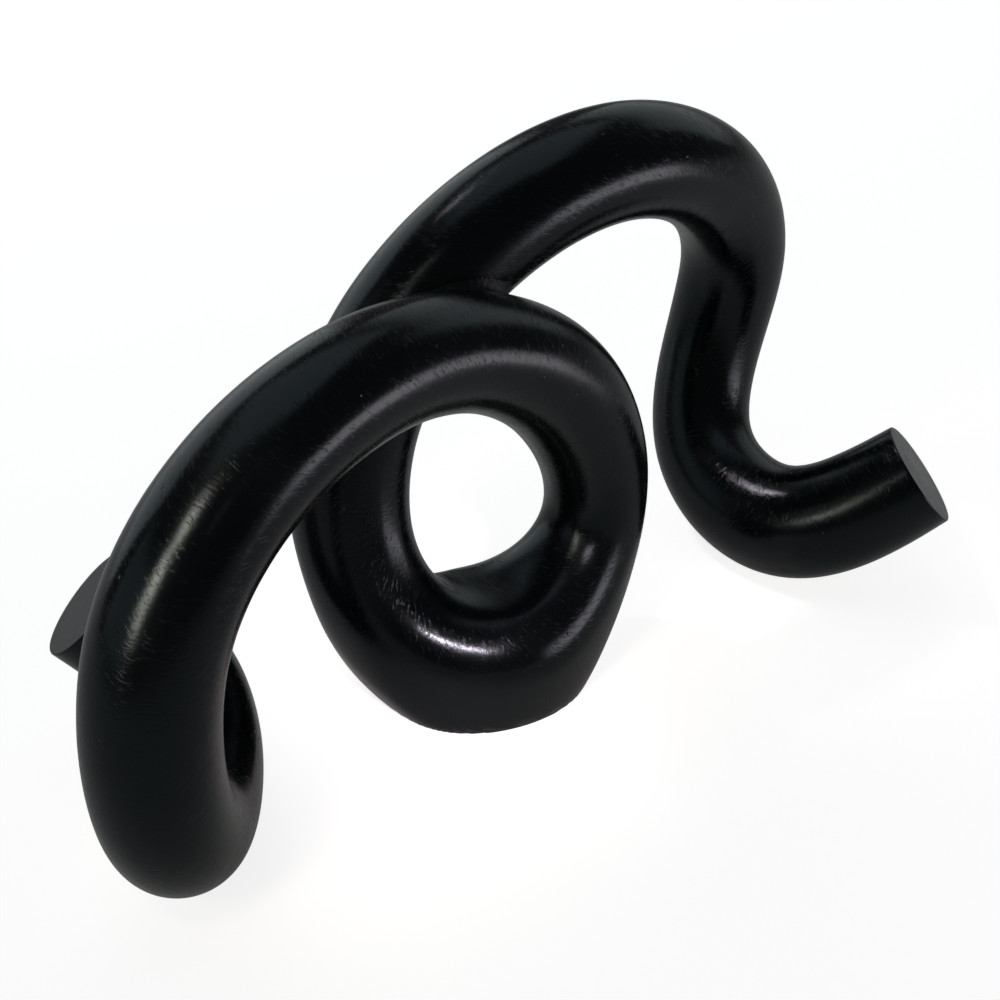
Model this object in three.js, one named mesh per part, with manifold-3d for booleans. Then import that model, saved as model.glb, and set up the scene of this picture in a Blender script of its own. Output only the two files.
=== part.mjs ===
// Knot sculpture: about a metre of round, black-stained wooden rod, carved as fifteen short bends.
// The rod stands on two turned-up feet and on a small loop between them, and its two arches cross
// above the loop. The bends meet end to end on glued dowels, and a pin and a web of filler hold
// the crossing. Millimetres, +Z up, X along the sculpture, origin on the table under its middle.

import * as THREE from "three";
import { mergeVertices } from "three/addons/utils/BufferGeometryUtils.js";
import Module from "manifold-3d";

const wasm = await Module();
wasm.setup();

// Driving dimensions of the rod
const ROD_RADIUS = 18;
const ROD_SIDES = 24;
const RING_STEP = 7;

// Middle of a rod that lies on the table, and of one whose skin touches the seat's upright plane
const LOW = ROD_RADIUS;
const FRONT = -ROD_RADIUS;
const BACK = ROD_RADIUS;

// The middle of the rod passes through these places, from the left end to the right end. The last
// number of each is how much thicker than the blank, in radius, the carver left the rod there.
const STATIONS = {
  leftEnd: [-117.5, 35, LOW + 34.5, 0.2],
  leftToe: [-100.5, 13.5, LOW + 8, 0],
  leftHeel: [-127, -36, LOW + 5, 0.1],
  leftKnee: [-132, -42.5, 86.5, 0.2],
  leftShoulder: [-75, FRONT - 7.5, 129.5, -0.5],
  frontCrossing: [-14, FRONT + 8, 122, -0.6],
  frontSide: [29.5, FRONT + 13.5, 85.5, 0.2],
  frontBend: [35, -6.5, 39.5, -1.7],
  loopBottom: [-10.5, -8, LOW - 1.5, 1.6],
  backBend: [-29, 1.5, 24.5, -0.2],
  backSide: [-36.5, BACK + 3, 64, 0.4],
  backCrossing: [0.5, BACK + 7, 127, 0.6],
  backCrown: [72.5, BACK + 7, 145.5, 0.3],
  rightKnee: [132, 39, 88.5, -0.2],
  rightHeel: [111.5, 23.5, LOW + 9, -0.6],
  rightToe: [113, -12.5, LOW - 2, 1.2],
  rightEnd: [143.5, -46.5, LOW + 23, 0.1],
};

// The bottom of the loop is left thicker. Round its lowest station the lower half of the section
// moves down, and its front and back halves move apart. Each move is full where the skin faces that
// way by more than the wall's share, and fades to nothing below that.
const BOTTOM_DROP = 14.5;
const BOTTOM_DEPTH = 15;
const BOTTOM_SPREAD = 33.5;
const BOTTOM_WALL = 0.5;
const BOTTOM_DEPTH_AXIS = new THREE.Vector3(-0.16, 1, 0).normalize();

// Each carved bend, with the station that it runs to: 2.5 is halfway from station 2 to station 3.
const BENDS = [
  { name: "left_tip", to: 0.8 },
  { name: "left_foot", to: 1.8 },
  { name: "left_heel", to: 2.6 },
  { name: "left_leg", to: 3.7 },
  { name: "front_arch", to: 5.5 },
  { name: "front_strand", to: 6.4 },
  { name: "front_bend", to: 7.35 },
  { name: "loop_base", to: 8.65 },
  { name: "back_bend", to: 9.6 },
  { name: "back_strand", to: 10.5 },
  { name: "back_arch", to: 12.2 },
  { name: "right_shoulder", to: 13.3 },
  { name: "right_leg", to: 14.2 },
  { name: "right_foot", to: 15.2 },
  { name: "right_tip", to: 16 },
];

// Joints: a birch dowel in a blind hole on each side of every glue line
const GLUE_GAP = 0.3;
const DOWEL_RADIUS = 5;
const DOWEL_DEPTH = 15;
const DOWEL_SIDES = 12;

// Crossing: the back arch is coped to seat on the front arch, pinned, and filled round the seat
const PIN_RADIUS = 3;
const PIN_DEPTH = 9;
const FILLER_RADIUS = 19;
const FILLER_HALF_THICKNESS = 6;
const FILLER_SIDES = 20;

// Finish
const BLACK_STAINED_WOOD = { color: 0x101114, roughness: 0.38, metalness: 0 };
const BARE_BIRCH = { color: 0xc9a676, roughness: 0.8, metalness: 0 };
const BLACK_FILLER = { color: 0x0d0e10, roughness: 0.45, metalness: 0 };

// Natural cubic spline through rows of numbers at given knots, with both ends left straight
class NaturalSpline {
  constructor(knots, rows) {
    this.knots = knots;
    this.rows = rows;
    this.bends = this.solveSecondDerivatives();
  }

  // Tridiagonal system for the second derivatives of every column
  solveSecondDerivatives() {
    const count = this.rows.length;
    const second = this.rows.map((row) => row.map(() => 0));
    const upper = new Array(count).fill(0);
    for (let i = 1; i < count - 1; i++) {
      const before = this.knots[i] - this.knots[i - 1];
      const after = this.knots[i + 1] - this.knots[i];
      const pivot = 2 * (before + after) - before * upper[i - 1];
      second[i] = this.rows[i].map((value, k) => {
        const slopeAfter = (this.rows[i + 1][k] - value) / after;
        const slopeBefore = (value - this.rows[i - 1][k]) / before;
        return (6 * (slopeAfter - slopeBefore) - before * second[i - 1][k]) / pivot;
      });
      upper[i] = after / pivot;
    }
    for (let i = count - 2; i > 0; i--) {
      second[i] = second[i].map((value, k) => value - upper[i] * second[i + 1][k]);
    }
    return second;
  }

  at(place) {
    const last = this.rows.length - 1;
    let i = 0;
    while (i < last - 1 && place > this.knots[i + 1]) i++;
    const span = this.knots[i + 1] - this.knots[i];
    const b = (place - this.knots[i]) / span;
    const a = 1 - b;
    const scale = (span * span) / 6;
    return this.rows[i].map(
      (value, k) =>
        a * value +
        b * this.rows[i + 1][k] +
        (a * a * a - a) * scale * this.bends[i][k] +
        (b * b * b - b) * scale * this.bends[i + 1][k],
    );
  }
}

// Middle line of the rod, run by the chord length between its stations
class RodCentreline extends THREE.Curve {
  constructor(stations) {
    super();
    this.arcLengthDivisions = 1200;
    this.points = stations.map(([x, y, z]) => new THREE.Vector3(x, y, z));
    this.knots = [0];
    for (let i = 1; i < this.points.length; i++) {
      this.knots.push(this.knots[i - 1] + this.points[i].distanceTo(this.points[i - 1]));
    }
    this.chord = this.knots[this.knots.length - 1];
    this.spline = new NaturalSpline(this.knots, stations);
  }

  getPoint(t, target = new THREE.Vector3()) {
    const [x, y, z] = this.spline.at(t * this.chord);
    return target.set(x, y, z);
  }

  // Radius of the rod at a distance from its left end
  radiusAt(distance) {
    const t = this.getUtoTmapping(distance / this.getLength());
    return ROD_RADIUS + this.spline.at(t * this.chord)[3];
  }

  // Distance along the rod at a station number, which may be a fraction
  distanceAtStation(station) {
    const i = Math.min(Math.floor(station), this.points.length - 2);
    const chord = THREE.MathUtils.lerp(this.knots[i], this.knots[i + 1], station - i);
    const place = (chord / this.chord) * this.arcLengthDivisions;
    const lengths = this.getLengths();
    const low = Math.min(Math.floor(place), this.arcLengthDivisions - 1);
    return THREE.MathUtils.lerp(lengths[low], lengths[low + 1], place - low);
  }
}

const stationNames = Object.keys(STATIONS);
const rod = new RodCentreline(Object.values(STATIONS));
const rodLength = rod.getLength();
const bottomDistance = rod.distanceAtStation(stationNames.indexOf("loopBottom"));
const frameCount = Math.round(rodLength / RING_STEP);
const frames = rod.computeFrenetFrames(frameCount, false);

// Point, direction and two cross directions of the rod at a distance from its left end
function rodFrame(distance) {
  const u = THREE.MathUtils.clamp(distance / rodLength, 0, 1);
  const tangent = rod.getTangentAt(u);
  const normal = frames.normals[Math.round(u * frameCount)].clone();
  normal.addScaledVector(tangent, -normal.dot(tangent)).normalize();
  const binormal = new THREE.Vector3().crossVectors(tangent, normal);
  return { point: rod.getPointAt(u), tangent, normal, binormal };
}

// Closed length of rod between two distances, thicker than the finished rod by a margin
function rodStretch(from, to, margin = 0) {
  const ringCount = Math.max(2, Math.ceil((to - from) / RING_STEP)) + 1;
  const positions = [];
  const indices = [];
  for (let ring = 0; ring < ringCount; ring++) {
    const distance = THREE.MathUtils.lerp(from, to, ring / (ringCount - 1));
    const { point, normal, binormal } = rodFrame(distance);
    const radius = (rod.radiusAt(distance) + margin) / Math.cos(Math.PI / ROD_SIDES);
    const nearness = Math.exp(-(((distance - bottomDistance) / BOTTOM_SPREAD) ** 2));
    for (let side = 0; side < ROD_SIDES; side++) {
      const angle = (2 * Math.PI * side) / ROD_SIDES;
      const outward = normal.clone().multiplyScalar(Math.cos(angle));
      outward.addScaledVector(binormal, Math.sin(angle));
      const place = point.clone().addScaledVector(outward, radius);
      const below = THREE.MathUtils.clamp(-outward.z / BOTTOM_WALL, 0, 1);
      const behind = THREE.MathUtils.clamp(outward.dot(BOTTOM_DEPTH_AXIS) / BOTTOM_WALL, -1, 1);
      place.z -= nearness * below * BOTTOM_DROP;
      place.addScaledVector(BOTTOM_DEPTH_AXIS, (nearness * behind * BOTTOM_DEPTH) / 2);
      positions.push(...place.toArray());
    }
  }
  for (let ring = 0; ring < ringCount - 1; ring++) {
    for (let side = 0; side < ROD_SIDES; side++) {
      const a = ring * ROD_SIDES + side;
      const b = ring * ROD_SIDES + ((side + 1) % ROD_SIDES);
      indices.push(a, b, b + ROD_SIDES, a, b + ROD_SIDES, a + ROD_SIDES);
    }
  }
  const firstCentre = ringCount * ROD_SIDES;
  const lastRing = (ringCount - 1) * ROD_SIDES;
  positions.push(...rodFrame(from).point.toArray(), ...rodFrame(to).point.toArray());
  for (let side = 0; side < ROD_SIDES; side++) {
    const next = (side + 1) % ROD_SIDES;
    indices.push(firstCentre, next, side);
    indices.push(firstCentre + 1, lastRing + side, lastRing + next);
  }
  const geometry = new THREE.BufferGeometry();
  geometry.setAttribute("position", new THREE.Float32BufferAttribute(positions, 3));
  geometry.setIndex(indices);
  return geometry;
}

// Round bar along a line, from one point to another
function roundBar(start, end, radius, sides) {
  const along = end.clone().sub(start);
  const geometry = new THREE.CylinderGeometry(radius, radius, along.length(), sides);
  const turn = new THREE.Quaternion().setFromUnitVectors(
    new THREE.Vector3(0, 1, 0),
    along.clone().normalize(),
  );
  const middle = start.clone().lerp(end, 0.5);
  geometry.applyMatrix4(new THREE.Matrix4().compose(middle, turn, new THREE.Vector3(1, 1, 1)));
  return geometry;
}

function toSolid(geometry) {
  const bare = geometry.clone();
  bare.deleteAttribute("normal");
  bare.deleteAttribute("uv");
  const merged = mergeVertices(bare, 1e-4);
  return new wasm.Manifold(
    new wasm.Mesh({
      numProp: 3,
      vertProperties: new Float32Array(merged.attributes.position.array),
      triVerts: new Uint32Array(merged.index.array),
    }),
  );
}

function toGeometry(solid) {
  const mesh = solid.getMesh();
  const geometry = new THREE.BufferGeometry();
  geometry.setAttribute("position", new THREE.BufferAttribute(mesh.vertProperties, 3));
  geometry.setIndex(new THREE.BufferAttribute(mesh.triVerts, 1));
  return geometry;
}

const sculpture = new THREE.Group();

function addPiece(name, geometry, finish) {
  const shaded = geometry.index ? geometry.toNonIndexed() : geometry;
  shaded.computeVertexNormals();
  const piece = new THREE.Mesh(shaded, new THREE.MeshStandardMaterial({ ...finish, flatShading: true }));
  piece.name = name;
  sculpture.add(piece);
}

// Where the two arches come closest: a point on each, within the reach of the two arch bends
function findCrossing() {
  const near = (name) => rod.distanceAtStation(stationNames.indexOf(name));
  const reach = 2 * ROD_RADIUS;
  let best = { gap: Infinity };
  for (let front = near("frontCrossing") - reach; front < near("frontCrossing") + reach; front++) {
    const frontPoint = rod.getPointAt(front / rodLength);
    for (let back = near("backCrossing") - reach; back < near("backCrossing") + reach; back++) {
      const backPoint = rod.getPointAt(back / rodLength);
      const gap = frontPoint.distanceTo(backPoint);
      if (gap < best.gap) best = { gap, front, back, frontPoint, backPoint };
    }
  }
  return best;
}

const crossing = findCrossing();
const crossingAxis = crossing.backPoint.clone().sub(crossing.frontPoint).normalize();
const seatPoint = crossing.frontPoint
  .clone()
  .addScaledVector(crossingAxis, rod.radiusAt(crossing.front));

// The stretch of rod on each side of the crossing that the filler reaches
const seatReach = FILLER_RADIUS + 2 * ROD_RADIUS;
const frontNeighbour = toSolid(
  rodStretch(crossing.front - seatReach, crossing.front + seatReach, GLUE_GAP),
);
const backNeighbour = toSolid(
  rodStretch(crossing.back - seatReach, crossing.back + seatReach, GLUE_GAP),
);

// Pin and its hole, square across the seat
function crossingBar(radius, depth) {
  return roundBar(
    seatPoint.clone().addScaledVector(crossingAxis, -depth),
    seatPoint.clone().addScaledVector(crossingAxis, depth),
    radius,
    DOWEL_SIDES,
  );
}
const pinHole = toSolid(crossingBar(PIN_RADIUS + GLUE_GAP, PIN_DEPTH + GLUE_GAP));

// Glue lines between the bends, as distances along the rod
const jointDistances = BENDS.slice(0, -1).map((bend) => rod.distanceAtStation(bend.to));

function dowelBar(distance, radius, depth) {
  const { point, tangent } = rodFrame(distance);
  return roundBar(
    point.clone().addScaledVector(tangent, -depth),
    point.clone().addScaledVector(tangent, depth),
    radius,
    DOWEL_SIDES,
  );
}
const dowelHoles = jointDistances.map((distance) =>
  toSolid(dowelBar(distance, DOWEL_RADIUS + GLUE_GAP, DOWEL_DEPTH + GLUE_GAP)),
);

// The table: everything below it is sanded off the feet and the bottom of the loop
const TABLE_MARGIN = 4 * ROD_RADIUS;
function tableBlock() {
  const box = new THREE.Box3().setFromPoints(rod.points).expandByScalar(TABLE_MARGIN);
  const size = box.getSize(new THREE.Vector3());
  const block = new THREE.BoxGeometry(size.x, size.y, TABLE_MARGIN);
  const middle = box.getCenter(new THREE.Vector3());
  block.translate(middle.x, middle.y, -TABLE_MARGIN / 2);
  return block;
}
const table = toSolid(tableBlock());

// Carved bends
BENDS.forEach((bend, i) => {
  const from = i === 0 ? 0 : jointDistances[i - 1] + GLUE_GAP / 2;
  const to = i === BENDS.length - 1 ? rodLength : jointDistances[i] - GLUE_GAP / 2;
  let solid = toSolid(rodStretch(from, to));
  if (i > 0) solid = solid.subtract(dowelHoles[i - 1]);
  if (i < BENDS.length - 1) solid = solid.subtract(dowelHoles[i]);
  if (from < crossing.back && crossing.back < to) {
    solid = solid.subtract(frontNeighbour).subtract(pinHole);
  }
  if (from < crossing.front && crossing.front < to) solid = solid.subtract(pinHole);
  solid = solid.subtract(table);
  addPiece(bend.name, toGeometry(solid), BLACK_STAINED_WOOD);
});

// Dowels, named for the two bends that each one joins
jointDistances.forEach((distance, i) => {
  const name = `dowel_${BENDS[i].name}_to_${BENDS[i + 1].name}`;
  addPiece(name, dowelBar(distance, DOWEL_RADIUS, DOWEL_DEPTH), BARE_BIRCH);
});

// Crossing pin
addPiece("crossing_pin", crossingBar(PIN_RADIUS, PIN_DEPTH), BARE_BIRCH);

// Web of filler round the seat: a flat round lump, less the two arches that it fills between
function fillerLump() {
  const lump = new THREE.SphereGeometry(FILLER_RADIUS, FILLER_SIDES, FILLER_SIDES / 2);
  lump.scale(1, FILLER_HALF_THICKNESS / FILLER_RADIUS, 1);
  const turn = new THREE.Quaternion().setFromUnitVectors(new THREE.Vector3(0, 1, 0), crossingAxis);
  lump.applyMatrix4(new THREE.Matrix4().compose(seatPoint, turn, new THREE.Vector3(1, 1, 1)));
  return lump;
}
const filler = toSolid(fillerLump()).subtract(frontNeighbour).subtract(backNeighbour);
addPiece("crossing_filler", toGeometry(filler), BLACK_FILLER);

// Stand the sculpture with the middle of its footprint over the origin
const footprint = new THREE.Box3().setFromObject(sculpture).getCenter(new THREE.Vector3());
sculpture.position.set(-footprint.x, -footprint.y, 0);

export default sculpture;
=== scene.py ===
"""Finished model of a knot sculpture: a carved wooden rod, stained black and waxed."""

import logging
import math
from dataclasses import dataclass, field
from enum import Enum
from typing import Any

import bmesh
import bpy
import numpy as np
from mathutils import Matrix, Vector


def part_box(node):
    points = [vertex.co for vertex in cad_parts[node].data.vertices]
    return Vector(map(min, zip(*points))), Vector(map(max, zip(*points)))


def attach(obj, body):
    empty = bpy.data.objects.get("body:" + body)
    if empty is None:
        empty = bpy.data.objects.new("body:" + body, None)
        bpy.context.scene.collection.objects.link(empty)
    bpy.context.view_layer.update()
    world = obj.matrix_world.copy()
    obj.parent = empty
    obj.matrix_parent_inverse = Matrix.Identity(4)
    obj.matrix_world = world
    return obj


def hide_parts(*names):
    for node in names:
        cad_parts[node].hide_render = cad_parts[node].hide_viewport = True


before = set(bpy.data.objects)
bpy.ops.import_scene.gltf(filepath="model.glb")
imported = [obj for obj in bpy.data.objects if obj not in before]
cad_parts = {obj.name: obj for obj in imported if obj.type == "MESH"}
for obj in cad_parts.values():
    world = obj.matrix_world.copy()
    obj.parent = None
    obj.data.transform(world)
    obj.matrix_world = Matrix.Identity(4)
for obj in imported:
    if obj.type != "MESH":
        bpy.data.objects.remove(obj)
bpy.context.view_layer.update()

MM = 0.001
AIM_HEIGHT = 0.11
BODY = "root"
LOG = logging.getLogger("knot_sculpture")

# Radians of phase that Blender's wave texture runs through in one unit of its coordinates
WAVE_PHASE = 20

# Colours of the light from the window, the lamps and the pale walls
WINDOW = "#ffedf2"
WARM_LAMP = "#ffeedc"
COOL_LAMP = "#ffe6ed"
PALE_WALL = "#f0f8fa"

# The fifteen carved bends, each with the station of the middle line that it runs to
BENDS = {
    "left_tip": 0.8,
    "left_foot": 1.8,
    "left_heel": 2.6,
    "left_leg": 3.7,
    "front_arch": 5.5,
    "front_strand": 6.4,
    "front_bend": 7.35,
    "loop_base": 8.65,
    "back_bend": 9.6,
    "back_strand": 10.5,
    "back_arch": 12.2,
    "right_shoulder": 13.3,
    "right_leg": 14.2,
    "right_foot": 15.2,
    "right_tip": 16,
}


class Slot(Enum):
    """Material slots of the record."""

    WOOD = "black_wood"
    BIRCH = "bare_birch"
    FILLER = "black_filler"


def linear(hex_colour: str) -> tuple[float, float, float, float]:
    """Turns an sRGB colour into the linear one that shaders use.

    Args:
        hex_colour: The colour as "#rrggbb".

    Returns:
        Red, green, blue and an alpha of 1.
    """
    channels = [int(hex_colour[i : i + 2], 16) / 255 for i in (1, 3, 5)]
    red, green, blue = (
        c / 12.92 if c <= 0.04045 else ((c + 0.055) / 1.055) ** 2.4 for c in channels
    )
    return red, green, blue, 1.0


def add_node(
    tree: bpy.types.NodeTree,
    kind: str,
    inputs: dict[str | int, Any] | None = None,
    **settings: Any,
) -> bpy.types.Node:
    """Adds a node with its settings, values and links.

    Args:
        tree: The node tree to add to.
        kind: The node's type.
        inputs: For each input, the value that it holds or the output that feeds it.
        **settings: The node's own properties.

    Returns:
        The new node.
    """
    node = tree.nodes.new(kind)
    for name, value in settings.items():
        setattr(node, name, value)
    for key, value in (inputs or {}).items():
        if isinstance(value, bpy.types.NodeSocket):
            tree.links.new(value, node.inputs[key])
        else:
            node.inputs[key].default_value = value
    return node


def math_node(
    tree: bpy.types.NodeTree, operation: str, *values: float | bpy.types.NodeSocket
) -> bpy.types.NodeSocket:
    """Adds a Math node.

    Args:
        tree: The node tree to add to.
        operation: What the node works out.
        *values: Its values in order, as numbers or as the outputs that feed them.

    Returns:
        The result.
    """
    node = add_node(tree, "ShaderNodeMath", dict(enumerate(values)), operation=operation)
    return node.outputs[0]


def add_ramp(
    tree: bpy.types.NodeTree, factor: bpy.types.NodeSocket, stops: dict[float, str]
) -> bpy.types.NodeSocket:
    """Adds a colour ramp.

    Args:
        tree: The node tree to add to.
        factor: The output that drives the ramp.
        stops: Each stop's place and its sRGB colour.

    Returns:
        The ramp's colour output.
    """
    ramp = add_node(tree, "ShaderNodeValToRGB", {"Fac": factor})
    elements = ramp.color_ramp.elements
    while len(elements) > 1:
        elements.remove(elements[-1])
    for i, (place, colour) in enumerate(stops.items()):
        element = elements[0] if i == 0 else elements.new(place)
        element.position = place
        element.color = linear(colour)
    return ramp.outputs["Color"]


def new_material(name: str) -> tuple[bpy.types.Material, bpy.types.Node]:
    """Makes a material with an empty Principled shader.

    Args:
        name: The material's name.

    Returns:
        The material and its Principled node.
    """
    material = bpy.data.materials.new(name)
    material.use_nodes = True
    return material, material.node_tree.nodes["Principled BSDF"]


def set_stain_sheen(shader: bpy.types.Node) -> None:
    """Gives a black-stained finish its faint, slightly cool reflection.

    Args:
        shader: The finish's Principled node.
    """
    shader.inputs["Specular IOR Level"].default_value = 0.35
    shader.inputs["Specular Tint"].default_value = linear("#e4f8ff")


@dataclass(frozen=True)
class BlackStainedWood:
    """Close-grained wood, rasped and sanded by hand, stained black and rubbed with wax.

    The stain leaves it almost black, and the wax gives it a soft, wide sheen that the sanding
    marks break up across the rod.
    """

    name: str = "black_stained_waxed_wood"
    stain: str = "#020406"
    thin_stain: str = "#080b0d"
    dust: str = "#1c1c1e"
    roughness: float = 0.19
    roughness_swing: float = 0.08
    wax_patch_mm: float = 26.0
    wax_thin: float = 0.3
    wax_thick: float = 0.7
    sanding_line_mm: float = 0.55
    sanding_reach_mm: float = 5.0
    scuff_line_mm: float = 0.5
    scuff_reach_mm: float = 3.2
    scuff_slant: float = 0.6
    scuff_start: float = 0.56
    scuff_full: float = 0.7
    scuff_dulling: float = 0.16
    rasp_facet_mm: float = 9.0
    pit_spacing_mm: float = 7.0
    pit_mm: float = 0.5
    bump_depth_mm: float = 0.10
    rasp_share: float = 0.8
    sanding_share: float = 0.45
    scuff_share: float = 0.22
    pit_share: float = 1.5

    def add_marks(
        self,
        tree: bpy.types.NodeTree,
        place: bpy.types.NodeSocket,
        line_mm: float,
        reach_mm: float,
        slant: float,
    ) -> bpy.types.NodeSocket:
        """Adds hand marks: a noise that is fine along the rod and long across it.

        Args:
            tree: The material's node tree.
            place: The straightened coordinates.
            line_mm: How far apart the marks lie.
            reach_mm: How long they are.
            slant: How far they turn from straight across, in radians.

        Returns:
            The noise.
        """
        turned = add_node(
            tree, "ShaderNodeMapping", {"Vector": place, "Rotation": (0.0, slant, slant)}
        )
        stretched = add_node(
            tree,
            "ShaderNodeMapping",
            {
                "Vector": turned.outputs[0],
                "Scale": (1 / (line_mm * MM), 1 / (reach_mm * MM), 1 / (reach_mm * MM)),
            },
        )
        noise = add_node(
            tree,
            "ShaderNodeTexNoise",
            {"Vector": stretched.outputs[0], "Scale": 1.0, "Detail": 3.0, "Roughness": 0.6},
        )
        return noise.outputs[0]

    def build(self) -> bpy.types.Material:
        """Builds the material on the rod's own straightened coordinates.

        Returns:
            The finished material.
        """
        material, shader = new_material(self.name)
        tree = material.node_tree
        place = add_node(tree, "ShaderNodeAttribute", attribute_name="rod_place")
        along_rod = place.outputs["Vector"]

        # Sanding marks run round the rod: fine along it, long across it
        sanding = self.add_marks(
            tree, along_rod, self.sanding_line_mm, self.sanding_reach_mm, 0.0
        )
        scuffs = self.add_marks(
            tree, along_rod, self.scuff_line_mm, self.scuff_reach_mm, self.scuff_slant
        )
        scuff = add_node(
            tree,
            "ShaderNodeMapRange",
            {"Value": scuffs, "From Min": self.scuff_start, "From Max": self.scuff_full},
        )
        rasp = add_node(
            tree,
            "ShaderNodeTexNoise",
            {"Vector": along_rod, "Scale": 1 / (self.rasp_facet_mm * MM), "Detail": 1.5},
        )
        wax = add_node(
            tree,
            "ShaderNodeTexNoise",
            {"Vector": along_rod, "Scale": 1 / (self.wax_patch_mm * MM), "Detail": 4.0},
        )
        pits = add_node(
            tree,
            "ShaderNodeTexVoronoi",
            {"Vector": along_rod, "Scale": 1 / (self.pit_spacing_mm * MM)},
        )
        pit_edge = self.pit_mm / self.pit_spacing_mm
        pit = add_node(
            tree,
            "ShaderNodeMapRange",
            {"Value": pits.outputs["Distance"], "From Min": pit_edge, "From Max": 0.0},
        )

        height = math_node(tree, "MULTIPLY", rasp.outputs[0], self.rasp_share)
        height = math_node(tree, "MULTIPLY_ADD", sanding, self.sanding_share, height)
        height = math_node(tree, "MULTIPLY_ADD", scuff.outputs[0], -self.scuff_share, height)
        height = math_node(tree, "MULTIPLY_ADD", pit.outputs[0], -self.pit_share, height)
        bump = add_node(
            tree,
            "ShaderNodeBump",
            {"Height": height, "Distance": self.bump_depth_mm * MM, "Strength": 1.0},
        )

        stain = add_ramp(tree, wax.outputs[0], {0.35: self.stain, 0.7: self.thin_stain})
        colour = add_node(
            tree,
            "ShaderNodeMix",
            {"Factor": pit.outputs[0], 6: stain, 7: linear(self.dust)},
            data_type="RGBA",
        )
        gloss = add_node(
            tree,
            "ShaderNodeMapRange",
            {
                "Value": wax.outputs[0],
                "From Min": self.wax_thin,
                "From Max": self.wax_thick,
                "To Min": self.roughness - self.roughness_swing / 2,
                "To Max": self.roughness + self.roughness_swing / 2,
            },
        )
        roughness = math_node(
            tree, "MULTIPLY_ADD", scuff.outputs[0], self.scuff_dulling, gloss.outputs[0]
        )
        tree.links.new(colour.outputs[2], shader.inputs["Base Color"])
        tree.links.new(roughness, shader.inputs["Roughness"])
        tree.links.new(bump.outputs[0], shader.inputs["Normal"])
        shader.inputs["IOR"].default_value = 1.5
        set_stain_sheen(shader)
        return material


@dataclass(frozen=True)
class StainedFiller:
    """Wood filler, pressed in by thumb and stained with the rod: duller, with small wrinkles."""

    name: str = "black_stained_wood_filler"
    stain: str = "#0a0b0d"
    ridge: str = "#16171a"
    roughness: float = 0.45
    wrinkle_mm: float = 2.6
    grit_mm: float = 0.6
    grit_share: float = 0.15
    bump_depth_mm: float = 0.35

    def build(self) -> bpy.types.Material:
        """Builds the material.

        Returns:
            The finished material.
        """
        material, shader = new_material(self.name)
        tree = material.node_tree
        place = add_node(tree, "ShaderNodeTexCoord").outputs["Object"]
        wrinkles = add_node(
            tree,
            "ShaderNodeTexNoise",
            {
                "Vector": place,
                "Scale": 1 / (self.wrinkle_mm * MM),
                "Detail": 2.0,
                "Distortion": 1.5,
            },
        )
        grit = add_node(
            tree,
            "ShaderNodeTexNoise",
            {"Vector": place, "Scale": 1 / (self.grit_mm * MM), "Detail": 1.0},
        )
        height = math_node(
            tree, "MULTIPLY_ADD", grit.outputs[0], self.grit_share, wrinkles.outputs[0]
        )
        bump = add_node(
            tree, "ShaderNodeBump", {"Height": height, "Distance": self.bump_depth_mm * MM}
        )
        colour = add_ramp(tree, wrinkles.outputs[0], {0.4: self.stain, 0.65: self.ridge})
        tree.links.new(colour, shader.inputs["Base Color"])
        tree.links.new(bump.outputs[0], shader.inputs["Normal"])
        shader.inputs["Roughness"].default_value = self.roughness
        set_stain_sheen(shader)
        return material


@dataclass(frozen=True)
class BareBirch:
    """Turned birch dowel rod, left bare for the glue: pale, matt and straight-grained."""

    name: str = "bare_turned_birch"
    early_wood: str = "#d8bd90"
    late_wood: str = "#b58f5d"
    roughness: float = 0.75
    grain_mm: float = 1.2
    fibre_mm: float = 0.25
    bump_depth_mm: float = 0.05

    def build(self) -> bpy.types.Material:
        """Builds the material.

        Returns:
            The finished material.
        """
        material, shader = new_material(self.name)
        tree = material.node_tree
        place = add_node(tree, "ShaderNodeTexCoord").outputs["Object"]

        # One radian of the rings' wave is grain_mm wide
        ring_scale = 1 / (WAVE_PHASE * self.grain_mm * MM)
        rings = add_node(
            tree, "ShaderNodeTexWave", {"Vector": place, "Scale": ring_scale, "Distortion": 3.0}
        )
        fibres = add_node(
            tree,
            "ShaderNodeTexNoise",
            {"Vector": place, "Scale": 1 / (self.fibre_mm * MM), "Detail": 2.0},
        )
        colour = add_ramp(tree, rings.outputs["Fac"], {0.2: self.early_wood, 0.8: self.late_wood})
        bump = add_node(
            tree,
            "ShaderNodeBump",
            {"Height": fibres.outputs[0], "Distance": self.bump_depth_mm * MM},
        )
        tree.links.new(colour, shader.inputs["Base Color"])
        tree.links.new(bump.outputs[0], shader.inputs["Normal"])
        shader.inputs["Roughness"].default_value = self.roughness
        return material


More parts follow.
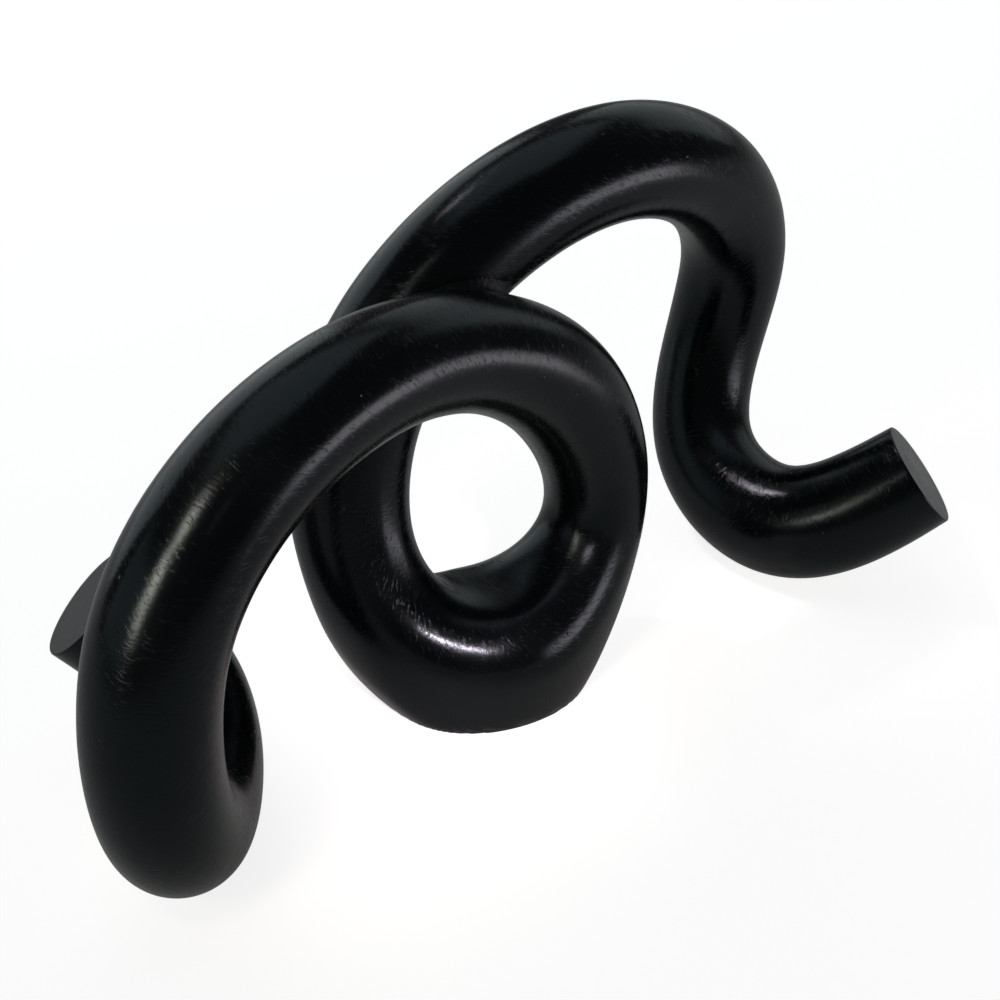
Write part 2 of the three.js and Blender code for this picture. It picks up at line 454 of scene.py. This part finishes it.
@dataclass(frozen=True)
class Centreline:
    """Middle line of the rod: a natural cubic spline through seventeen stations, in millimetres.

    Each station has its place, and how much thicker than the blank the rod was left there.
    """

    stations: dict[str, tuple[float, float, float, float]] = field(
        default_factory=lambda: {
            "left_end": (-117.5, 35, 52.5, 0.2),
            "left_toe": (-100.5, 13.5, 26, 0),
            "left_heel": (-127, -36, 23, 0.1),
            "left_knee": (-132, -42.5, 86.5, 0.2),
            "left_shoulder": (-75, -25.5, 129.5, -0.5),
            "front_crossing": (-14, -10, 122, -0.6),
            "front_side": (29.5, -4.5, 85.5, 0.2),
            "front_bend": (35, -6.5, 39.5, -1.7),
            "loop_bottom": (-10.5, -8, 16.5, 1.6),
            "back_bend": (-29, 1.5, 24.5, -0.2),
            "back_side": (-36.5, 21, 64, 0.4),
            "back_crossing": (0.5, 25, 127, 0.6),
            "back_crown": (72.5, 25, 145.5, 0.3),
            "right_knee": (132, 39, 88.5, -0.2),
            "right_heel": (111.5, 23.5, 27, -0.6),
            "right_toe": (113, -12.5, 16, 1.2),
            "right_end": (143.5, -46.5, 41, 0.1),
        }
    )
    steps: int = 4000

    def __post_init__(self) -> None:
        """Solves the spline once and keeps its points and their distances along the rod."""
        places = np.array(list(self.stations.values()), float)
        chords = np.linalg.norm(np.diff(places[:, :3], axis=0), axis=1)
        knots = np.concatenate([[0], np.cumsum(chords)])
        spans = np.diff(knots)
        count = len(places)
        system = np.eye(count)
        load = np.zeros_like(places)
        for i in range(1, count - 1):
            system[i, i - 1 : i + 2] = spans[i - 1], 2 * (spans[i - 1] + spans[i]), spans[i]
            slopes = np.diff(places[i - 1 : i + 2], axis=0) / spans[i - 1 : i + 1, None]
            load[i] = 6 * (slopes[1] - slopes[0])
        bends = np.linalg.solve(system, load)
        chord = np.linspace(0, knots[-1], self.steps + 1)
        i = np.clip(np.searchsorted(knots, chord, side="right") - 1, 0, count - 2)
        b = ((chord - knots[i]) / spans[i])[:, None]
        a = 1 - b
        scale = spans[i][:, None] ** 2 / 6
        rows = (
            a * places[i]
            + b * places[i + 1]
            + ((a**3 - a) * bends[i] + (b**3 - b) * bends[i + 1]) * scale
        )
        lengths = np.linalg.norm(np.diff(rows[:, :3], axis=0), axis=1)
        distances = np.concatenate([[0], np.cumsum(lengths)])
        object.__setattr__(self, "knots", knots)
        object.__setattr__(self, "chord", chord)
        object.__setattr__(self, "points", rows[:, :3])
        object.__setattr__(self, "extra", rows[:, 3])
        object.__setattr__(self, "distances", distances)

    @property
    def length(self) -> float:
        """Length of the rod in millimetres."""
        return float(self.distances[-1])

    def distance_at(self, station: float) -> float:
        """Distance along the rod of a station number, which may be a fraction.

        Args:
            station: The station's place in the list, counted from 0.

        Returns:
            The distance from the left end in millimetres.
        """
        chord = np.interp(station, np.arange(len(self.knots)), self.knots)
        return float(np.interp(chord, self.chord, self.distances))

    def distance_of(self, name: str) -> float:
        """Distance along the rod of a named station, in millimetres."""
        return self.distance_at(list(self.stations).index(name))

    def row_at(self, distance: float | np.ndarray) -> np.ndarray:
        """Place and extra thickness at a distance, or one row for each of several distances."""
        columns = [*self.points.T, self.extra]
        return np.column_stack([np.interp(distance, self.distances, c) for c in columns])

    def points_between(self, start: float, stop: float, step: float) -> np.ndarray:
        """Points of the middle line at an even step.

        Args:
            start: The first distance in millimetres.
            stop: The last distance in millimetres.
            step: The wanted step in millimetres.

        Returns:
            One row for each point: its place and the extra thickness there, in millimetres.
        """
        wanted = np.linspace(start, stop, max(2, round((stop - start) / step) + 1))
        return self.row_at(wanted)


@dataclass
class Crossing:
    """Place where the back arch leans on the front arch."""

    line: Centreline
    reach: float = 60.0
    step: float = 0.5

    def __post_init__(self) -> None:
        """Finds the closest points of the two arches and the seat between them."""
        self.front_run = self.run_round("front_crossing")
        self.back_run = self.run_round("back_crossing")
        gaps = np.linalg.norm(self.front_run[:, None, :3] - self.back_run[None, :, :3], axis=2)
        front, back = np.unravel_index(gaps.argmin(), gaps.shape)
        across = (self.back_run[back] - self.front_run[front])[:3]
        self.axis = across / np.linalg.norm(across)
        self.front_point = self.front_run[front]

    def run_round(self, name: str) -> np.ndarray:
        """Points of the middle line on both sides of a named station."""
        middle = self.line.distance_of(name)
        return self.line.points_between(middle - self.reach, middle + self.reach, self.step)

    def seat(self, radius: float) -> np.ndarray:
        """Point on the front arch's skin that the back arch rests on.

        Args:
            radius: The blank's radius in millimetres.
        """
        return self.front_point[:3] + self.axis * (radius + self.front_point[3])


def skin_gap(places: np.ndarray, run: np.ndarray, radius: float) -> tuple[np.ndarray, np.ndarray]:
    """Measures how far places lie outside the skin round a run of the middle line.

    Args:
        places: One row for each place.
        run: The run's rows, closely spaced, each with its place and extra thickness.
        radius: The blank's radius.

    Returns:
        Each place's distance from the skin, and the direction away from the middle line.
    """
    starts = run[:-1, :3]
    steps = np.diff(run[:, :3], axis=0)
    offsets = places[:, None] - starts[None]
    shares = np.clip((offsets * steps).sum(2) / (steps * steps).sum(1), 0, 1)
    away = places[:, None] - starts[None] - shares[..., None] * steps[None]
    reach = np.linalg.norm(away, axis=2)
    gaps = reach - radius - run[None, :-1, 3]
    nearest = gaps.argmin(1)
    rows = np.arange(len(places))
    return gaps[rows, nearest], away[rows, nearest] / reach[rows, nearest, None]


@dataclass
class CarvedRod:
    """The black rod: one swept skin, cut at the glue lines into the fifteen carved bends."""

    line: Centreline
    crossing: Crossing
    shift: np.ndarray
    finish: bpy.types.Material
    radius: float = 17.95
    sides: int = 120
    ring_step: float = 1.0
    bottom_drop: float = 14.5
    bottom_depth: float = 15.0
    bottom_spread: float = 33.5
    bottom_wall: float = 0.4
    bottom_depth_axis: tuple[float, float, float] = (-0.158, 0.987, 0.0)
    waviness: float = 0.12
    wave_length: float = 26.0
    rim_softness: float = 0.7
    end_bevel: float = 0.5
    end_bevel_steps: int = 3
    seat_gap: float = 0.1

    def sweep_tree(self) -> bpy.types.NodeTree:
        """Builds the Geometry Nodes that sweep the round section along the middle line.

        Returns:
            The node tree.
        """
        tree = bpy.data.node_groups.new("carved_rod_sweep", "GeometryNodeTree")
        tree.interface.new_socket("Geometry", in_out="INPUT", socket_type="NodeSocketGeometry")
        for name in (
            "Rod Radius",
            "Ring Step",
            "Bottom Distance",
            "Bottom Drop",
            "Bottom Depth",
            "Bottom Spread",
            "Bottom Wall",
            "Waviness",
            "Wave Length",
            "Rim Softness",
        ):
            tree.interface.new_socket(name, in_out="INPUT", socket_type="NodeSocketFloat")
        tree.interface.new_socket("Depth Axis", in_out="INPUT", socket_type="NodeSocketVector")
        tree.interface.new_socket("Sides", in_out="INPUT", socket_type="NodeSocketInt")
        tree.interface.new_socket("Finish", in_out="INPUT", socket_type="NodeSocketMaterial")
        tree.interface.new_socket("Geometry", in_out="OUTPUT", socket_type="NodeSocketGeometry")
        given = add_node(tree, "NodeGroupInput").outputs

        # Even rings along the middle line, with their centres, thicknesses and distances along it
        line = add_node(tree, "GeometryNodeMeshToCurve", {"Mesh": given["Geometry"]})
        rings = add_node(
            tree,
            "GeometryNodeResampleCurve",
            {"Curve": line.outputs[0], "Length": given["Ring Step"]},
            mode="LENGTH",
        )
        keep = add_node(tree, "GeometryNodeCaptureAttribute", {"Geometry": rings.outputs[0]})
        keep.capture_items.new("VECTOR", "Centre")
        keep.capture_items.new("FLOAT", "Distance")
        keep.capture_items.new("FLOAT", "Extra")
        extra = add_node(
            tree, "GeometryNodeInputNamedAttribute", {"Name": "extra"}, data_type="FLOAT"
        )
        tree.links.new(extra.outputs["Attribute"], keep.inputs["Extra"])
        here = add_node(tree, "GeometryNodeInputPosition").outputs[0]
        tree.links.new(here, keep.inputs["Centre"])
        parameter = add_node(tree, "GeometryNodeSplineParameter")
        tree.links.new(parameter.outputs["Length"], keep.inputs["Distance"])

        circle = add_node(
            tree,
            "GeometryNodeCurvePrimitiveCircle",
            {"Resolution": given["Sides"], "Radius": given["Rod Radius"]},
        )
        keep_side = add_node(tree, "GeometryNodeCaptureAttribute", {"Geometry": circle.outputs[0]})
        keep_side.capture_items.new("VECTOR", "Side")
        tree.links.new(here, keep_side.inputs["Side"])
        skin = add_node(
            tree,
            "GeometryNodeCurveToMesh",
            {
                "Curve": keep.outputs["Geometry"],
                "Profile Curve": keep_side.outputs["Geometry"],
                "Fill Caps": True,
            },
        )

        # Coordinates on the straightened rod: distance along it, then the place round its section
        side = add_node(tree, "ShaderNodeSeparateXYZ", {0: keep_side.outputs["Side"]})
        rod_place = add_node(
            tree,
            "ShaderNodeCombineXYZ",
            {0: keep.outputs["Distance"], 1: side.outputs[0], 2: side.outputs[1]},
        )
        marked = add_node(
            tree,
            "GeometryNodeStoreNamedAttribute",
            {"Geometry": skin.outputs[0], "Name": "rod_place", "Value": rod_place.outputs[0]},
            data_type="FLOAT_VECTOR",
            domain="POINT",
        )

        # The loop's bottom is thicker: the section's lower half drops, its front and back part
        outward = add_node(
            tree,
            "ShaderNodeVectorMath",
            {0: here, 1: keep.outputs["Centre"]},
            operation="SUBTRACT",
        )
        outward = add_node(
            tree, "ShaderNodeVectorMath", {0: outward.outputs[0]}, operation="NORMALIZE"
        )
        share = math_node(tree, "SUBTRACT", keep.outputs["Distance"], given["Bottom Distance"])
        share = math_node(tree, "DIVIDE", share, given["Bottom Spread"])
        fade = math_node(tree, "MULTIPLY", share, share)
        fade = math_node(tree, "MULTIPLY", fade, -1.0)
        fade = math_node(tree, "EXPONENT", fade)
        outward_z = add_node(tree, "ShaderNodeSeparateXYZ", {0: outward.outputs[0]})
        wall = math_node(tree, "MULTIPLY", given["Bottom Wall"], -1.0)
        below = add_node(
            tree,
            "ShaderNodeMapRange",
            {
                "Value": outward_z.outputs[2],
                "From Min": 0.0,
                "From Max": wall,
                "To Min": 0.0,
                "To Max": given["Bottom Drop"],
            },
            interpolation_type="SMOOTHSTEP",
        )
        behind = add_node(
            tree,
            "ShaderNodeVectorMath",
            {0: outward.outputs[0], 1: given["Depth Axis"]},
            operation="DOT_PRODUCT",
        )
        behind = add_node(
            tree,
            "ShaderNodeMapRange",
            {
                "Value": behind.outputs["Value"],
                "From Min": wall,
                "From Max": given["Bottom Wall"],
                "To Min": -0.5,
                "To Max": 0.5,
            },
            interpolation_type="SMOOTHSTEP",
        )
        apart = math_node(tree, "MULTIPLY", behind.outputs[0], given["Bottom Depth"])
        apart = add_node(
            tree,
            "ShaderNodeVectorMath",
            {0: given["Depth Axis"], "Scale": apart},
            operation="SCALE",
        )
        drop = add_node(tree, "ShaderNodeCombineXYZ", {2: below.outputs[0]})
        growth = add_node(
            tree,
            "ShaderNodeVectorMath",
            {0: apart.outputs[0], 1: drop.outputs[0]},
            operation="SUBTRACT",
        )
        growth = add_node(
            tree,
            "ShaderNodeVectorMath",
            {0: growth.outputs[0], "Scale": fade},
            operation="SCALE",
        )

        # Hand carving leaves the skin slightly wavy
        wave_scale = math_node(tree, "DIVIDE", 1.0, given["Wave Length"])
        wave = add_node(
            tree,
            "ShaderNodeTexNoise",
            {"Vector": rod_place.outputs[0], "Scale": wave_scale, "Detail": 1.0},
        )
        wave = math_node(tree, "ADD", wave.outputs[0], -0.5)
        wave = math_node(tree, "MULTIPLY_ADD", wave, given["Waviness"], keep.outputs["Extra"])
        wave = add_node(
            tree,
            "ShaderNodeVectorMath",
            {0: outward.outputs[0], "Scale": wave},
            operation="SCALE",
        )
        offset = add_node(
            tree,
            "ShaderNodeVectorMath",
            {0: growth.outputs[0], 1: wave.outputs[0]},
            operation="ADD",
        )
        carved = add_node(
            tree,
            "GeometryNodeSetPosition",
            {"Geometry": marked.outputs[0], "Offset": offset.outputs[0]},
        )

        # The feet and the bottom of the loop are sanded flat on the table
        before = add_node(tree, "ShaderNodeSeparateXYZ", {0: here})
        height = math_node(tree, "SMOOTH_MAX", before.outputs[2], 0.0, given["Rim Softness"])
        flat = add_node(
            tree,
            "ShaderNodeCombineXYZ",
            {0: before.outputs[0], 1: before.outputs[1], 2: height},
        )
        sanded = add_node(
            tree,
            "GeometryNodeSetPosition",
            {"Geometry": carved.outputs[0], "Position": flat.outputs[0]},
        )
        smooth = add_node(tree, "GeometryNodeSetShadeSmooth", {"Geometry": sanded.outputs[0]})
        real = add_node(tree, "GeometryNodeRealizeInstances", {"Geometry": smooth.outputs[0]})
        dressed = add_node(
            tree,
            "GeometryNodeSetMaterial",
            {"Geometry": real.outputs[0], "Material": given["Finish"]},
        )
        add_node(tree, "NodeGroupOutput", {"Geometry": dressed.outputs[0]})
        return tree

    def sweep(self) -> bpy.types.Mesh:
        """Sweeps the whole rod.

        Returns:
            The plain mesh of the uncut skin.
        """
        points = (self.line.points + self.shift) * MM
        path = bpy.data.meshes.new("rod_path")
        path.from_pydata(points.tolist(), [(i, i + 1) for i in range(len(points) - 1)], [])
        extra = path.attributes.new("extra", "FLOAT", "POINT")
        extra.data.foreach_set("value", self.line.extra * MM)
        carrier = bpy.data.objects.new("rod_path", path)
        bpy.context.scene.collection.objects.link(carrier)
        modifier = carrier.modifiers.new("sweep", "NODES")
        modifier.node_group = self.sweep_tree()
        sizes = {
            "Rod Radius": self.radius * MM,
            "Ring Step": self.ring_step * MM,
            "Bottom Distance": self.line.distance_of("loop_bottom") * MM,
            "Bottom Drop": self.bottom_drop * MM,
            "Bottom Depth": self.bottom_depth * MM,
            "Bottom Spread": self.bottom_spread * MM,
            "Bottom Wall": self.bottom_wall,
            "Waviness": 2 * self.waviness * MM,
            "Wave Length": self.wave_length * MM,
            "Rim Softness": self.rim_softness * MM,
            "Depth Axis": self.bottom_depth_axis,
            "Sides": self.sides,
            "Finish": self.finish,
        }
        for socket in modifier.node_group.interface.items_tree:
            if socket.in_out == "INPUT" and socket.name in sizes:
                modifier[socket.identifier] = sizes[socket.name]
        graph = bpy.context.evaluated_depsgraph_get()
        skin = bpy.data.meshes.new_from_object(carrier.evaluated_get(graph))
        bpy.data.objects.remove(carrier)
        bpy.data.meshes.remove(path)
        return skin

    def cope(self, shape: bmesh.types.BMesh, place: Any) -> None:
        """Cuts the back arch back to the front arch's skin, where it leans on it.

        Args:
            shape: The whole skin.
            place: The layer that holds the place on the straightened rod.
        """
        middle = self.line.distance_of("back_crossing")
        near = [v for v in shape.verts if abs(v[place].x / MM - middle) < self.crossing.reach]
        places = np.array([v.co for v in near]) / MM - self.shift
        gaps, away = skin_gap(places, self.crossing.front_run, self.radius + self.seat_gap)
        for vertex, gap, direction in zip(near, gaps, away):
            if gap < 0:
                vertex.co -= Vector(direction * gap * MM)

    def build(self) -> list[bpy.types.Object]:
        """Builds the rod and cuts it at its glue lines.

        Returns:
            The fifteen carved bends, from the left end to the right end.
        """
        shape = bmesh.new()
        shape.from_mesh(self.sweep())
        place = shape.verts.layers.float_vector["rod_place"]
        self.cope(shape, place)
        ends = [face for face in shape.faces if len(face.verts) == self.sides]
        rims = [edge for face in ends for edge in face.edges]
        bevelled = bmesh.ops.bevel(
            shape,
            geom=rims,
            offset=self.end_bevel * MM,
            segments=self.end_bevel_steps,
            profile=0.5,
            affect="EDGES",
            clamp_overlap=True,
        )
        LOG.info("rounded the two cut ends with %d faces", len(bevelled["faces"]))
        bmesh.ops.recalc_face_normals(shape, faces=shape.faces)
        shape.normal_update()
        stops = [self.line.distance_at(station) * MM for station in BENDS.values()]
        owner = {}
        for face in shape.faces:
            middle = sum(v[place].x for v in face.verts) / len(face.verts)
            owner[face] = min(int(np.searchsorted(stops, middle)), len(stops) - 1)
        pieces = []
        for i, name in enumerate(BENDS):
            faces = [face for face in shape.faces if owner[face] == i]
            pieces.append(self.cut_bend(name, faces, place))
        shape.free()
        return pieces

    def cut_bend(
        self, name: str, faces: list[bmesh.types.BMFace], place: Any
    ) -> bpy.types.Object:
        """Copies one bend out of the skin and closes its glued ends.

        Args:
            name: The bend's name, which is its CAD node's too.
            faces: The bend's faces on the whole skin.
            place: The layer that holds the place on the straightened rod.

        Returns:
            The bend, dressed and riding on the sculpture.
        """
        bend = bmesh.new()
        bend_place = bend.verts.layers.float_vector.new("rod_place")
        copies = {}
        normals = []
        for face in faces:
            for vertex in face.verts:
                if vertex not in copies:
                    copies[vertex] = bend.verts.new(vertex.co)
                    copies[vertex][bend_place] = vertex[place]
                    normals.append(vertex.normal.copy())
        for face in faces:
            copy = bend.faces.new([copies[vertex] for vertex in face.verts])
            copy.smooth = len(face.verts) < self.sides
        open_edges = [edge for edge in bend.edges if edge.is_boundary]
        glued = bmesh.ops.holes_fill(bend, edges=open_edges, sides=self.sides)["faces"]
        for face in glued:
            face.smooth = False
            for edge in face.edges:
                edge.smooth = False
        bmesh.ops.recalc_face_normals(bend, faces=bend.faces)
        mesh = bpy.data.meshes.new(name + "_skin")
        bend.to_mesh(mesh)
        bend.free()
        mesh.materials.append(self.finish)
        flat = [not polygon.use_smooth for polygon in mesh.polygons]
        corner_normals = [None] * len(mesh.loops)
        for polygon, is_flat in zip(mesh.polygons, flat):
            for loop in polygon.loop_indices:
                vertex = mesh.loops[loop].vertex_index
                corner_normals[loop] = polygon.normal[:] if is_flat else normals[vertex][:]
        mesh.normals_split_custom_set(corner_normals)
        piece = bpy.data.objects.new(name + "_skin", mesh)
        bpy.context.scene.collection.objects.link(piece)
        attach(piece, BODY)
        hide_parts(name)
        return piece


@dataclass
class CrossingWeb:
    """Web of filler in the crotch of the two arches."""

    crossing: Crossing
    shift: np.ndarray
    finish: bpy.types.Material
    radius: float = 17.95
    blend: float = 6.0
    reach: float = 24.0
    sink: float = 0.12
    edge_share: float = 0.15
    stride: int = 3
    around: int = 160
    over: int = 96
    halvings: int = 26

    def depth(self, places: np.ndarray) -> np.ndarray:
        """Depth outside the web's skin: negative inside it.

        Args:
            places: One row for each place, in millimetres.

        Returns:
            A distance for each place.
        """
        front = skin_gap(places, self.crossing.front_run[:: self.stride], self.radius)[0]
        back = skin_gap(places, self.crossing.back_run[:: self.stride], self.radius)[0]
        share = np.clip(1 - np.abs(front - back) / self.blend, 0, 1)
        fade = np.clip(share / self.edge_share, 0, 1)
        return np.minimum(front, back) - share**2 * self.blend / 4 + self.sink * (1 - fade)

    def build(self) -> bpy.types.Object:
        """Builds the web by feeling outwards from the seat in every direction.

        Returns:
            The web, dressed and riding on the sculpture.
        """
        axis = Vector(self.crossing.axis)
        first = axis.orthogonal().normalized()
        second = axis.cross(first)
        turns = 2 * np.pi * np.arange(self.around) / self.around
        tilts = np.pi * (np.arange(1, self.over) / self.over - 0.5)
        rays = [
            (first * math.cos(turn) + second * math.sin(turn)) * math.cos(tilt)
            + axis * math.sin(tilt)
            for tilt in tilts
            for turn in turns
        ]
        rays = np.array([ray[:] for ray in rays] + [(-axis)[:], axis[:]])
        seat = self.crossing.seat(self.radius)
        inside = np.zeros(len(rays))
        outside = np.full(len(rays), self.reach)
        for _ in range(self.halvings):
            middle = (inside + outside) / 2
            within = self.depth(seat + rays * middle[:, None]) < 0
            inside = np.where(within, middle, inside)
            outside = np.where(within, outside, middle)
        places = seat + rays * inside[:, None]
        points = (places + self.shift) * MM
        rows = self.over - 1
        bottom = rows * self.around
        faces = []
        for side in range(self.around):
            after = (side + 1) % self.around
            for row in range(rows - 1):
                low = row * self.around
                high = low + self.around
                faces.append((low + side, low + after, high + after, high + side))
            last = (rows - 1) * self.around
            faces.append((bottom, after, side))
            faces.append((bottom + 1, last + side, last + after))
        mesh = bpy.data.meshes.new("crossing_filler_web")
        mesh.from_pydata(points.tolist(), [], faces)
        mesh.materials.append(self.finish)
        mesh.shade_smooth()
        piece = bpy.data.objects.new("crossing_filler_web", mesh)
        bpy.context.scene.collection.objects.link(piece)
        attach(piece, BODY)
        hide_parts("crossing_filler")
        return piece


@dataclass
class GlueJoints:
    """Birch dowels across the glue lines, and the pin through the seat of the crossing."""

    finish: bpy.types.Material

    def dress(self) -> int:
        """Gives the dowels and the pin their wood.

        Returns:
            How many were dressed.
        """
        count = 0
        for name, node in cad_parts.items():
            if name.startswith("dowel_") or name == "crossing_pin":
                node.data.materials.clear()
                node.data.materials.append(self.finish)
                count += 1
        return count


@dataclass(frozen=True)
class Softbox:
    """A flat light with a soft, evenly bright front, placed by its direction from the sculpture.

    The azimuth runs from +X towards +Y, and the brightness is the front's radiance. The spread is
    how wide the light fans out, which a honeycomb grid narrows.
    """

    name: str
    azimuth: float
    elevation: float
    distance: float
    width: float
    height: float
    brightness: float
    colour: str = "#ffffff"
    spread: float = 180.0
    aim: tuple[float, float, float] = (0.0, 0.0, AIM_HEIGHT)

    @property
    def place(self) -> Vector:
        """Middle of the front, in metres."""
        turn, tilt = math.radians(self.azimuth), math.radians(self.elevation)
        flat = self.distance * math.cos(tilt)
        rise = self.distance * math.sin(tilt)
        return Vector((flat * math.cos(turn), flat * math.sin(turn), AIM_HEIGHT + rise))

    @property
    def watts(self) -> float:
        """Power that gives the front its brightness, which a narrow spread would raise."""
        half = math.radians(self.spread) / 2
        return math.pi * self.width * self.height * self.brightness * (1 - half / math.tan(half))


@dataclass
class Studio:
    """Camera, lights and the pale table of the photograph."""

    shift: np.ndarray
    azimuth: float = 35.84
    elevation: float = 33.65
    distance: float = 572.4
    aim_right: float = 3.9
    aim_height: float = 61.2
    focal_share: float = 1.871
    sensor: float = 36.0
    softboxes: tuple[Softbox, ...] = (
        Softbox("low_window", -45, -7, 0.45, 0.26, 0.11, 3.4, WINDOW),
        Softbox(
            "left_lamp_high", -154, 44.6, 0.423, 0.11, 0.13, 19.0, WARM_LAMP, 20.0,
            aim=(-0.119, -0.045, 0.127),
        ),
        Softbox(
            "left_lamp_middle", -159, 29, 0.45, 0.11, 0.14, 21.0, WARM_LAMP, 20.0,
            aim=(-0.13, -0.048, 0.117),
        ),
        Softbox(
            "left_lamp_low", -163, 17.6, 0.466, 0.11, 0.13, 13.0, WARM_LAMP, 20.0,
            aim=(-0.137, -0.05, 0.109),
        ),
        Softbox(
            "foot_lamp", 107, 56.6, 0.81, 0.09, 0.09, 170.0, COOL_LAMP, 8.0,
            aim=(0.1, -0.005, 0.032),
        ),
        Softbox(
            "loop_lamp", -109, 32.5, 0.577, 0.09, 0.09, 320.0, COOL_LAMP, 8.0,
            aim=(-0.03, -0.02, 0.034),
        ),
        Softbox("rear_wall", 98, 18, 1.5, 1.7, 1.1, 0.8, PALE_WALL),
        Softbox("left_wall", 170, 20, 1.5, 1.4, 0.9, 0.28, PALE_WALL),
        Softbox("right_wall", 25, 22, 1.5, 1.4, 0.9, 0.45, PALE_WALL),
        Softbox("ceiling", 60, 75, 1.3, 1.2, 1.2, 0.45, PALE_WALL),
    )
    room_brightness: float = 0.06
    table_half: float = 3.0
    table_colour: str = "#c8c8c8"
    table_roughness: float = 0.9
    table_sheen: float = 0.1
    table_glow: float = 0.12
    table_white: float = 0.72

    def place_camera(self) -> None:
        """Puts the camera where the photograph was taken from, with plain display colours."""
        bpy.context.scene.view_settings.view_transform = "Standard"
        turn = math.radians(self.azimuth)
        tilt = math.radians(self.elevation)
        back = Vector(
            (-math.sin(turn) * math.cos(tilt), -math.cos(turn) * math.cos(tilt), math.sin(tilt))
        )
        right = Vector((math.cos(turn), -math.sin(turn), 0))
        aim = right * self.aim_right + Vector((0, 0, self.aim_height)) + Vector(self.shift)
        lens = bpy.data.cameras.new("camera")
        lens.sensor_width = self.sensor
        lens.lens = self.focal_share * self.sensor
        camera = bpy.data.objects.new("camera", lens)
        camera.location = (aim + back * self.distance) * MM
        camera.rotation_euler = (-back).to_track_quat("-Z", "Y").to_euler()
        bpy.context.scene.collection.objects.link(camera)
        bpy.context.scene.camera = camera

    def light(self) -> None:
        """Hangs the softboxes and sets the dim room round them."""
        for box in self.softboxes:
            lamp = bpy.data.lights.new(box.name, "AREA")
            lamp.shape = "RECTANGLE"
            lamp.size, lamp.size_y = box.width, box.height
            lamp.energy = box.watts
            lamp.color = linear(box.colour)[:3]
            lamp.spread = math.radians(box.spread)
            piece = bpy.data.objects.new(box.name, lamp)
            piece.location = box.place
            facing = Vector(box.aim) - box.place
            piece.rotation_euler = facing.to_track_quat("-Z", "Y").to_euler()
            bpy.context.scene.collection.objects.link(piece)
        world = bpy.data.worlds.new("room")
        bpy.context.scene.world = world
        world.use_nodes = True
        tree = world.node_tree
        ground = tree.nodes["Background"]
        ground.inputs["Color"].default_value = linear("#ffffff")
        ground.inputs["Strength"].default_value = self.room_brightness
        seen = add_node(tree, "ShaderNodeBackground", {"Color": linear("#ffffff"), "Strength": 1.0})
        rays = add_node(tree, "ShaderNodeLightPath")
        choice = add_node(
            tree,
            "ShaderNodeMixShader",
            {0: rays.outputs["Is Camera Ray"], 1: ground.outputs[0], 2: seen.outputs[0]},
        )
        tree.links.new(choice.outputs[0], tree.nodes["World Output"].inputs["Surface"])

    def lay_floor(self) -> None:
        """Lays the pale table top that the sculpture stands on, lit to white for the camera."""
        shape = bmesh.new()
        bmesh.ops.create_grid(shape, x_segments=8, y_segments=8, size=self.table_half)
        mesh = bpy.data.meshes.new("table_top")
        shape.to_mesh(mesh)
        shape.free()
        floor = bpy.data.objects.new("table_top", mesh)
        bpy.context.scene.collection.objects.link(floor)
        material, shader = new_material("matt_white_table")
        tree = material.node_tree
        shader.inputs["Base Color"].default_value = linear(self.table_colour)
        shader.inputs["Roughness"].default_value = self.table_roughness
        shader.inputs["Specular IOR Level"].default_value = self.table_sheen
        rays = add_node(tree, "ShaderNodeLightPath")
        glow = math_node(
            tree, "MULTIPLY_ADD", rays.outputs["Is Camera Ray"], self.table_white, self.table_glow
        )
        shader.inputs["Emission Color"].default_value = linear("#ffffff")
        tree.links.new(glow, shader.inputs["Emission Strength"])
        mesh.materials.append(material)


def find_shift(line: Centreline, stops: dict[str, float]) -> np.ndarray:
    """Finds how far the stations lie from the CAD frame, from the dowels across the glue lines.

    Args:
        line: The middle line in the stations' own frame.
        stops: Each bend and the station that it runs to.

    Returns:
        The shift in millimetres.
    """
    names = list(stops)
    shifts = []
    for name, after in zip(names, names[1:]):
        low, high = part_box(f"dowel_{name}_to_{after}")
        middle = np.array((low + high) / 2) / MM
        shifts.append(middle - line.row_at(line.distance_at(stops[name]))[0, :3])
    return np.mean(shifts, axis=0)


def main() -> None:
    """Builds the sculpture and its studio in order."""
    logging.basicConfig(level=logging.INFO, format="%(name)s: %(message)s")
    line = Centreline()
    crossing = Crossing(line)
    shift = find_shift(line, BENDS)
    LOG.info("rod length %.1f mm, stations shifted by %s mm", line.length, np.round(shift, 3))
    studio = Studio(shift)
    studio.place_camera()
    studio.light()
    studio.lay_floor()
    wood = BlackStainedWood().build()
    for piece in CarvedRod(line, crossing, shift, wood).build():
        LOG.info("%s: %d faces", piece.name, len(piece.data.polygons))
    web = CrossingWeb(crossing, shift, StainedFiller().build()).build()
    LOG.info("%s: %d faces", web.name, len(web.data.polygons))
    count = GlueJoints(BareBirch().build()).dress()
    LOG.info("dressed %d dowels and pins", count)


if __name__ == "__main__":
    main()
